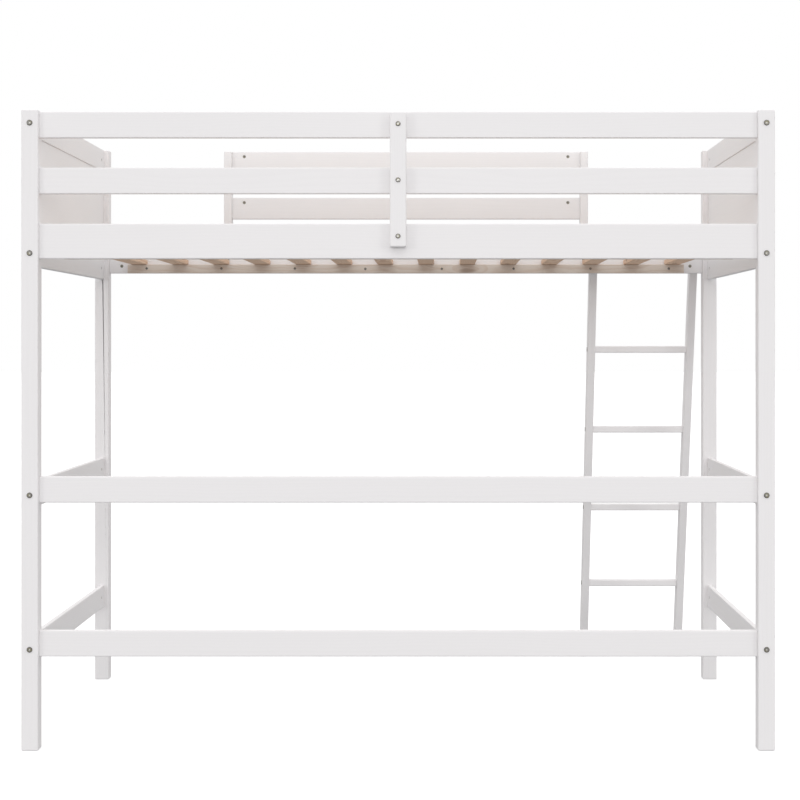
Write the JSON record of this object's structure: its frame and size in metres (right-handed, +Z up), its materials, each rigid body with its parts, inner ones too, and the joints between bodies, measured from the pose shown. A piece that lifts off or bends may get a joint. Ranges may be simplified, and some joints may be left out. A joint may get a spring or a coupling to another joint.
{
  "type": "loft bed",
  "caption": "White painted wooden loft bed: a slatted raised berth on square posts, board guards on every side, low stretchers and a leaning ladder at the rear.",
  "frame": {"origin": "on the floor, under the middle of the bounding box, which takes in the ladder's feet", "axes": "+X along the bed, to the right as seen from its railed front; +Y to the rear, where the ladder stands; +Z up"},
  "size_m": [2.003, 1.4994, 1.704],
  "materials": {
    "white_paint": "satin white lacquer over pine, the grain just showing",
    "bare_pine": "planed, unpainted pine",
    "zinc_plate": "zinc plated, faintly yellow"
  },
  "bodies": {
    "root": {"front_left_post": "white_paint", "front_right_post": "white_paint", "rear_left_post": "white_paint", "rear_right_post": "white_paint", "front_top_rail": "white_paint", "front_middle_rail": "white_paint", "front_upper_stretcher": "white_paint", "front_lower_stretcher": "white_paint", "front_side_rail": "white_paint", "rear_side_rail": "white_paint", "front_batten": "white_paint", "guard_top_board": "white_paint", "guard_lower_board": "white_paint", "guard_left_upright": "white_paint", "guard_right_upright": "white_paint", "left_end_top_rail": "white_paint", "left_end_bed_rail": "white_paint", "left_end_upper_stretcher": "white_paint", "left_end_lower_stretcher": "white_paint", "left_end_panel": "white_paint", "right_end_top_rail": "white_paint", "right_end_bed_rail": "white_paint", "right_end_upper_stretcher": "white_paint", "right_end_lower_stretcher": "white_paint", "right_end_panel": "white_paint", "ladder_left_stile": "white_paint", "ladder_right_stile": "white_paint", "ladder_rung_1": "white_paint", "ladder_rung_2": "white_paint", "ladder_rung_3": "white_paint", "ladder_rung_4": "white_paint", "front_ledger": "bare_pine", "rear_ledger": "bare_pine", "slat_01": "bare_pine", "slat_02": "bare_pine", "slat_03": "bare_pine", "slat_04": "bare_pine", "slat_05": "bare_pine", "slat_06": "bare_pine", "slat_07": "bare_pine", "slat_08": "bare_pine", "slat_09": "bare_pine", "slat_10": "bare_pine", "slat_11": "bare_pine", "slat_12": "bare_pine", "slat_13": "bare_pine", "slat_14": "bare_pine", "left_post_bolt_1": "zinc_plate", "left_post_bolt_2": "zinc_plate", "left_post_bolt_3": "zinc_plate", "left_post_bolt_4": "zinc_plate", "right_post_bolt_1": "zinc_plate", "right_post_bolt_2": "zinc_plate", "right_post_bolt_3": "zinc_plate", "right_post_bolt_4": "zinc_plate", "batten_bolt_1": "zinc_plate", "batten_bolt_2": "zinc_plate", "batten_bolt_3": "zinc_plate", "ladder_left_bolt": "zinc_plate", "ladder_right_bolt": "zinc_plate"}
  },
  "joints": []
}
